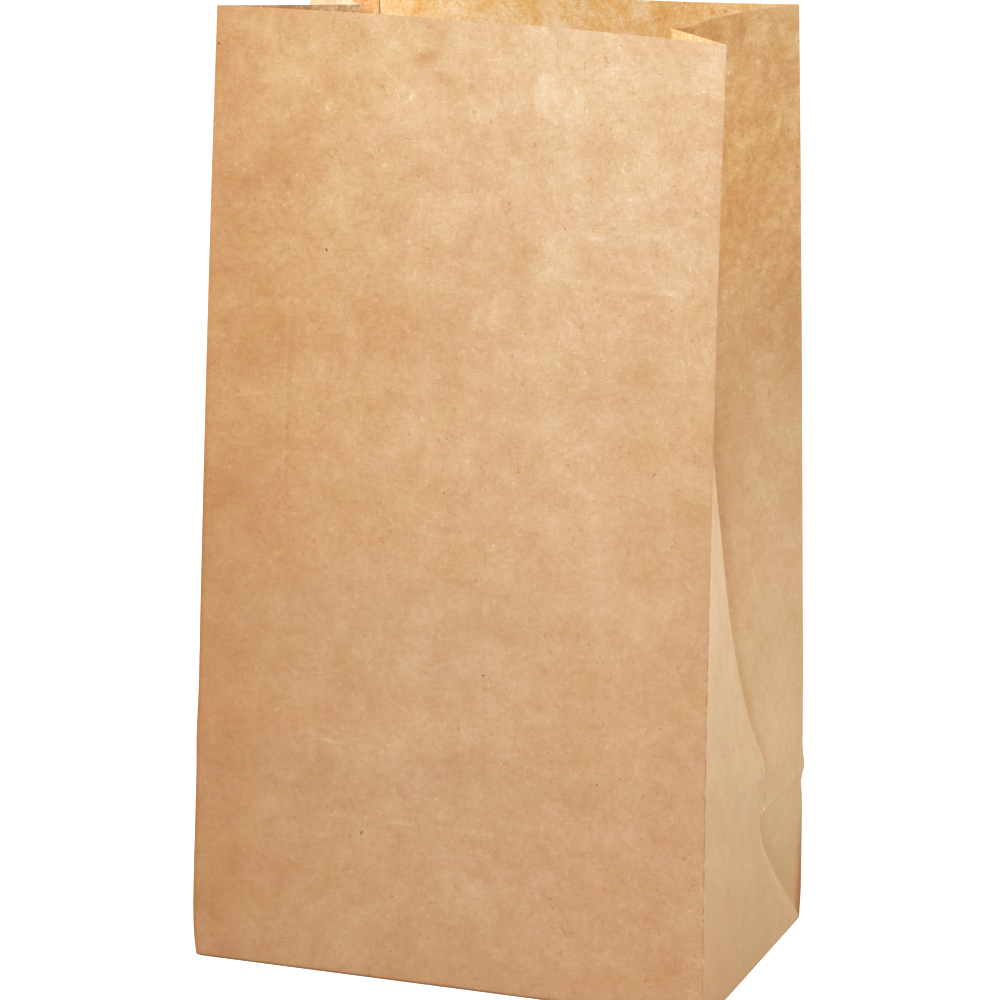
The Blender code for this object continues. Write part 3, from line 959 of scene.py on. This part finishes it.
def kraft_material(look, bag):
    """Unbleached kraft paper: a pulp of ochre and rose clouds, raised to a power that is
    higher where the paper is deeper in tone and lower where it is paler, with curly pale
    and dark fibres, rare flecks, and painted light and shade: creases with a shaded dark
    side and a highlighted pale side, shade in the sunk corners, on faint wrinkles and at
    the foot, and a paler lining where light shines through."""
    n = Nodes(bpy.data.materials.new("kraft_paper_painted_shade"))
    apex = half_depth(bag)
    front = bag.seam_edge + bag.depth
    n.sheet = n.add("UVMap", uv_map="sheet").outputs["UV"]
    inside, doubled, depth, mottle, reach, rise, behind = map(n.attribute, (
        "inside", "doubled", "depth", "mottle", "reach", "rise", "behind"))

    hue = n.noise((62, 70, 1), 5.0, (3.0, 1.0, 0.0), roughness=0.85)
    colour = n.mix(n.ramp(hue, 0.30, 0.70), tuple(look.ochre), tuple(look.rose))
    # The lining's paler colour is painted light shining through, darker where the paper is
    # double.
    lining = n.mix(doubled, tuple(look.inside), tuple(look.doubled))
    colour = n.mix(inside, colour, lining)

    # Tone: clouds of every size down to a fifth of a millimetre, then fibres and grain.
    clouds = n.noise((74, 82, 1), 6.0, (7.3, 2.1, 0.0), 0.25, roughness=0.98)
    grain = n.noise((2300, 2500, 1), 1.0, (1.7, 9.2, 0.0))
    pale_curl = n.fibres((300, 360, 1), (3.1, 5.5, 0.0), 0.026)
    dark_curl = n.fibres((270, 230, 1), (8.8, 0.4, 0.0), 0.022)
    streak = n.noise((2600, 300, 1), 2.0, (5.2, 7.7, 0.0), 0.3)
    weft = n.noise((300, 2600, 1), 2.0, (0.9, 3.3, 0.0), 0.3)
    tone = 0.0
    for field, strength in ((clouds, 0.80), (grain, 0.045), (streak, 0.11), (weft, 0.13)):
        tone = n.math("MULTIPLY_ADD", n.math("SUBTRACT", field, 0.5), strength, tone)
    tone = n.math("MULTIPLY_ADD", pale_curl, -0.20, tone)
    tone = n.math("MULTIPLY_ADD", dark_curl, 0.22, tone)
    power = n.math("MULTIPLY_ADD", tone, mottle, depth)

    # Creases, with painted light and shade: a dark shaded line on the panel side and a pale
    # highlight on the gusset side, low down. Reach is the paper's distance past a corner crease,
    # rise its height.
    ahead = n.math("SUBTRACT", 1.0, behind)
    outside = n.math("SUBTRACT", 1.0, inside)
    past = n.math("GREATER_THAN", reach, 0.00002)
    broken = n.noise((900, 420, 1), 2.0, (4.4, 6.6, 0.0))
    crease_shade = n.product(n.near(reach, -0.00014, 0.00030), n.ramp(broken, 0.4, 0.6),
                     n.ramp(rise, 0.112, 0.132, 0.46, 0.02))
    crease_highlight = n.product(n.near(reach, 0.00016, 0.00028), ahead,
                      n.ramp(broken, 0.55, 0.40), n.ramp(rise, 0.112, 0.132, -0.28, -0.03))
    # Painted shadow on the front gusset halves beside the corner crease, higher up.
    beside = n.product(n.ramp(reach, 0.0002, 0.0026, 1.0, 0.0), past, ahead,
                       n.ramp(rise, 0.125, 0.16, 0.0, 0.16))
    # Painted shadow in a band on the back gusset half beside its fold, above the apex, strongest
    # low down.
    fold = n.product(n.ramp(reach, 0.0395, 0.0455), behind, n.ramp(rise, 0.054, 0.062),
                     n.ramp(rise, 0.10, 0.16, 0.16, 0.04))
    power = n.total(power, n.product(n.total(crease_shade, crease_highlight, beside, fold), outside))
    power = n.math("MAXIMUM", power, 0.45)

    # The sunk triangle at the back is painted deeper in tone as shade, most of all down at its
    # corner and along its back crease.
    above = n.math("SUBTRACT", rise, reach)
    under = n.product(n.ramp(above, 0.0, 0.0006), n.ramp(rise, apex - 0.0004, apex, 1.0, 0.0),
                      past, behind)
    edge = n.product(n.ramp(reach, 0.0, 0.0065, 1.0, 0.0),
                     n.ramp(rise, 0.006, 0.038, 0.75, 0.0))
    rim = n.product(n.ramp(reach, 0.0, 0.0035, 1.0, 0.0),
                    n.ramp(rise, 0.020, 0.044, 0.30, 0.12))
    recess_shade = n.product(under, n.total(edge, rim, n.ramp(above, 0.0, 0.012, 0.11, -0.01)))
    # Painted highlight: a pale line along the ridge just over the back gusset halves' cross
    # crease.
    ridge_highlight = n.product(n.near(rise, apex + 0.0003, 0.00045), past, behind)
    # Painted shadow: a dark wedge in the pinch over the right gusset's apex.
    pinch_shadow = n.product(n.near(reach, 0.0417, 0.0011), behind, n.near(rise, 0.0500, 0.0030))
    # Painted highlight: a pale spot on the right gusset's back half just over the apex.
    spot = n.product(n.near(reach, 0.0421, 0.0009), behind, n.near(rise, apex + 0.0006, 0.0009))
    across = n.add("SeparateXYZ")
    n.put(across.inputs[0], n.sheet)
    on_right = n.math("GREATER_THAN", across.outputs[0], front + 0.1)
    marks = n.total(recess_shade, n.product(ridge_highlight, -0.12), n.product(on_right, pinch_shadow, 0.34),
                    n.product(on_right, spot, -0.75))

    # The front's left edge is more golden low down, and the bottom edge is painted dark as
    # shade.
    on_left = n.math("LESS_THAN", across.outputs[0], front + 0.02)
    strip = n.product(n.ramp(reach, -0.0016, -0.0003), n.math("LESS_THAN", reach, 0.00001),
                      ahead, on_left, n.ramp(rise, 0.12, 0.20, 0.28, 0.10))
    foot_shadow = n.product(n.ramp(rise, 0.0002, 0.0008, 0.40, 0.0),
                     n.math("GREATER_THAN", rise, -0.0004))
    marks = n.total(marks, strip, foot_shadow)
    # Painted highlight and shade: the pale and dark sides of faint wrinkles, and two darker
    # patches.
    for x, y, half, width, turn, amount in WRINKLE_SHADE_MARKS:
        wrinkle_shade = n.spot(front + x, y, half, width, turn, 0.0)
        uneven = n.ramp(broken, 0.2, 0.7, 1.2 * amount, 0.6 * amount)
        marks = n.total(marks, n.product(wrinkle_shade, uneven))
    power = n.total(power, n.product(marks, outside))
    shade = n.add("Gamma")
    n.put(shade.inputs["Color"], colour)
    n.put(shade.inputs["Gamma"], power)
    colour = shade.outputs[0]
    for tint, name in ((look.shade_tint, "grey"), (look.gold_tint, "gold")):
        colour = n.mix(n.attribute(name), colour, n.mix(1.0, colour, tuple(tint), "MULTIPLY"))

    # Flecks: a dot in a few of the cells of a cell pattern, and the larger ones by place.
    cells = n.add("TexVoronoi", voronoi_dimensions="2D")
    n.put(cells.inputs["Vector"], n.place((90, 120, 1)))
    cells.inputs["Scale"].default_value = 1.0
    split = n.add("SeparateColor")
    n.put(split.inputs[0], cells.outputs["Color"])
    size = n.ramp(split.outputs[1], 0.0, 1.0, 0.010, 0.026)
    dot = n.math("LESS_THAN", cells.outputs["Distance"], size)
    few = n.math("GREATER_THAN", split.outputs[0], 0.91)
    flecks = n.product(dot, few, 0.6)
    for x, y, half, width, turn, amount in FLECKS:
        mark = n.product(n.spot(front + x, y, half, width, turn, 0.6), amount)
        flecks = n.math("MAXIMUM", flecks, mark)
    colour = n.mix(n.product(flecks, outside), colour, tuple(look.fleck))

    bump_height = n.math("MULTIPLY_ADD", clouds, 3.0, grain)
    for field in (pale_curl, streak, weft):
        bump_height = n.math("MULTIPLY_ADD", field, 0.5, bump_height)
    bump = n.add("Bump")
    bump.inputs["Strength"].default_value = 0.35
    bump.inputs["Distance"].default_value = 0.00005
    n.put(bump.inputs["Height"], bump_height)

    shader = n.add("BsdfPrincipled")
    n.put(shader.inputs["Base Color"], colour)
    n.put(shader.inputs["Roughness"], n.ramp(clouds, 0.35, 0.65, look.roughness + 0.05,
                                             look.roughness - 0.06))
    shader.inputs["Specular IOR Level"].default_value = 0.3
    n.put(shader.inputs["Normal"], bump.outputs[0])
    n.put(n.add("OutputMaterial").inputs["Surface"], shader.outputs[0])
    return n.block


def paper_of(scene):
    """The one kraft paper of all pieces, made when the first of them asks for it."""
    made = bpy.data.materials.get("kraft_paper_painted_shade")
    return made or kraft_material(scene.kraft_paper_look, scene.lunch_bag_sizes)


def hand_over(context, mesh):
    """Puts a finished piece in the scene, rides it on the frame and gives it its paper."""
    piece = bpy.data.objects.new(mesh.name, mesh)
    context.scene.collection.objects.link(piece)
    mesh.materials.append(paper_of(context.scene))
    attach(piece, "root")
    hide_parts(NODE)


# ---- operators


class LUNCHBAG_OT_wall(bpy.types.Operator):
    """Make the bag's wall, one sheet with its gussets and its glued seam"""
    bl_idname = "lunchbag.wall"
    bl_label = "Wall"
    bl_options = {"REGISTER", "UNDO"}

    def execute(self, context):
        hand_over(context, make_wall(context.scene.lunch_bag_sizes))
        return {"FINISHED"}


class LUNCHBAG_OT_floor(bpy.types.Operator):
    """Make the bag's inner bottom with its two end tabs"""
    bl_idname = "lunchbag.floor"
    bl_label = "Inner Bottom"
    bl_options = {"REGISTER", "UNDO"}

    def execute(self, context):
        hand_over(context, make_floor(context.scene.lunch_bag_sizes))
        return {"FINISHED"}


class LUNCHBAG_OT_flaps(bpy.types.Operator):
    """Make the two pasted flaps under the bag"""
    bl_idname = "lunchbag.flaps"
    bl_label = "Bottom Flaps"
    bl_options = {"REGISTER", "UNDO"}

    def execute(self, context):
        bag = context.scene.lunch_bag_sizes
        hand_over(context, make_flap(bag, "lunch_bag_flap_front", False, 0.5 * bag.paper))
        hand_over(context, make_flap(bag, "lunch_bag_flap_back", True, 1.5 * bag.paper))
        return {"FINISHED"}


def add_lamp(scene, name, azimuth, height, power):
    """Square area lamp on a sphere about the bag, that looks at the bag's middle. Azimuth
    0 is in front and 90 on the right, height is above the horizon, in degrees."""
    turn, rise = math.radians(azimuth), math.radians(height)
    back = np.array([math.sin(turn) * math.cos(rise), -math.cos(turn) * math.cos(rise),
                     math.sin(rise)])
    place = np.array([0.0, 0.0, LAMP_TARGET]) + back * LAMP_DISTANCE
    data = bpy.data.lights.new(name, "AREA")
    data.shape = "SQUARE"
    data.size = LAMP_SIZE
    data.energy = power
    lamp = bpy.data.objects.new(name, data)
    right = np.cross([0, 0, 1], back)
    right /= np.linalg.norm(right)
    axes = np.column_stack([right, np.cross(back, right), back, place])
    lamp.matrix_world = Matrix([*axes.tolist(), [0, 0, 0, 1]])
    lamp.visible_camera = False
    scene.collection.objects.link(lamp)


def straight_to_white(nodes):
    """1 for a ray that shows the background: a camera, glossy or transmission ray."""
    path = nodes.add("LightPath")
    seen = nodes.math("MAXIMUM", path.outputs["Is Camera Ray"], path.outputs["Is Glossy Ray"])
    return nodes.math("MAXIMUM", seen, path.outputs["Is Transmission Ray"])


class LUNCHBAG_OT_stage(bpy.types.Operator):
    """Make the white floor, the soft lamps, the even sky and the camera"""
    bl_idname = "lunchbag.stage"
    bl_label = "Studio"
    bl_options = {"REGISTER", "UNDO"}

    def execute(self, context):
        scene = context.scene
        look = scene.studio_look
        self.make_floor(scene, look)
        self.make_sky(scene, look)
        for name, azimuth, height, power in (
            ("left_lamp", -52, 50, look.left_power), ("right_lamp", 86, 25, look.right_power),
            ("back_lamp", 165, 40, look.back_power),
        ):
            add_lamp(scene, name, azimuth, height, power)
        self.make_camera(scene, look)
        return {"FINISHED"}

    def make_floor(self, scene, look):
        """White floor: diffuse for the light, and lifted by a plain glow where it is seen."""
        corners = [(x * FLOOR_HALF, y * FLOOR_HALF, -FLOOR_DROP)
                   for x, y in ((-1, -1), (1, -1), (1, 1), (-1, 1))]
        mesh = bpy.data.meshes.new("studio_floor")
        mesh.from_pydata(corners, [], [(0, 1, 2, 3)])
        n = Nodes(bpy.data.materials.new("studio_white"))
        diffuse = n.add("BsdfDiffuse")
        diffuse.inputs["Color"].default_value = look.floor_colour
        glow = n.add("Emission")
        n.put(glow.inputs["Strength"], n.math("MULTIPLY", straight_to_white(n), look.floor_lift))
        both = n.add("AddShader")
        n.put(both.inputs[0], diffuse.outputs[0])
        n.put(both.inputs[1], glow.outputs[0])
        n.put(n.add("OutputMaterial").inputs["Surface"], both.outputs[0])
        mesh.materials.append(n.block)
        floor = bpy.data.objects.new("studio_floor", mesh)
        scene.collection.objects.link(floor)

    def make_sky(self, scene, look):
        """Even light of one strength, which shows as plain white where it is seen."""
        n = Nodes(bpy.data.worlds.new("studio_sky"))
        strength = n.add("MapRange")
        n.put(strength.inputs["Value"], straight_to_white(n))
        strength.inputs["To Min"].default_value = look.sky
        strength.inputs["To Max"].default_value = 1.0
        shader = n.add("Background")
        shader.inputs["Color"].default_value = (1, 1, 1, 1)
        n.put(shader.inputs["Strength"], strength.outputs[0])
        n.put(n.add("OutputWorld").inputs["Surface"], shader.outputs[0])
        scene.world = n.block

    def make_camera(self, scene, look):
        """Camera turned left about the vertical, tilted down and rolled."""
        yaw, pitch, roll = look.camera_turn
        forward = np.array([-math.sin(yaw) * math.cos(pitch),
                            math.cos(yaw) * math.cos(pitch), -math.sin(pitch)])
        right = np.array([math.cos(yaw), math.sin(yaw), 0.0])
        up = np.cross(right, forward)
        rolled_right = right * math.cos(roll) + up * math.sin(roll)
        rolled_up = up * math.cos(roll) - right * math.sin(roll)
        data = bpy.data.cameras.new("studio_camera")
        data.sensor_width = 36.0
        data.lens = look.lens
        data.clip_start = 0.05
        data.clip_end = 100.0
        camera = bpy.data.objects.new("studio_camera", data)
        turn = np.column_stack([rolled_right, rolled_up, -forward, look.camera_place])
        camera.matrix_world = Matrix([*turn.tolist(), [0, 0, 0, 1]])
        scene.collection.objects.link(camera)
        scene.camera = camera
        scene.view_settings.view_transform = "Standard"


class LUNCHBAG_PT_sidebar(bpy.types.Panel):
    bl_idname = "LUNCHBAG_PT_sidebar"
    bl_label = "Paper Lunch Bag"
    bl_space_type = "VIEW_3D"
    bl_region_type = "UI"
    bl_category = "Lunch Bag"

    def draw(self, context):
        layout = self.layout
        for step in STEPS:
            layout.operator(step.bl_idname)
        for group in (context.scene.lunch_bag_sizes, context.scene.kraft_paper_look,
                      context.scene.studio_look):
            box = layout.box()
            for name in group.__annotations__:
                box.prop(group, name)


STEPS = (LUNCHBAG_OT_wall, LUNCHBAG_OT_floor, LUNCHBAG_OT_flaps, LUNCHBAG_OT_stage)
CLASSES = (LunchBagSizes, KraftPaperLook, StudioLook, *STEPS, LUNCHBAG_PT_sidebar)


def register():
    for item in CLASSES:
        bpy.utils.register_class(item)
    bpy.types.Scene.lunch_bag_sizes = PointerProperty(type=LunchBagSizes)
    bpy.types.Scene.kraft_paper_look = PointerProperty(type=KraftPaperLook)
    bpy.types.Scene.studio_look = PointerProperty(type=StudioLook)


def unregister():
    del bpy.types.Scene.studio_look
    del bpy.types.Scene.kraft_paper_look
    del bpy.types.Scene.lunch_bag_sizes
    for item in reversed(CLASSES):
        bpy.utils.unregister_class(item)


def main():
    register()
    bpy.ops.lunchbag.wall()
    bpy.ops.lunchbag.floor()
    bpy.ops.lunchbag.flaps()
    bpy.ops.lunchbag.stage()


if __name__ == "__main__":
    main()
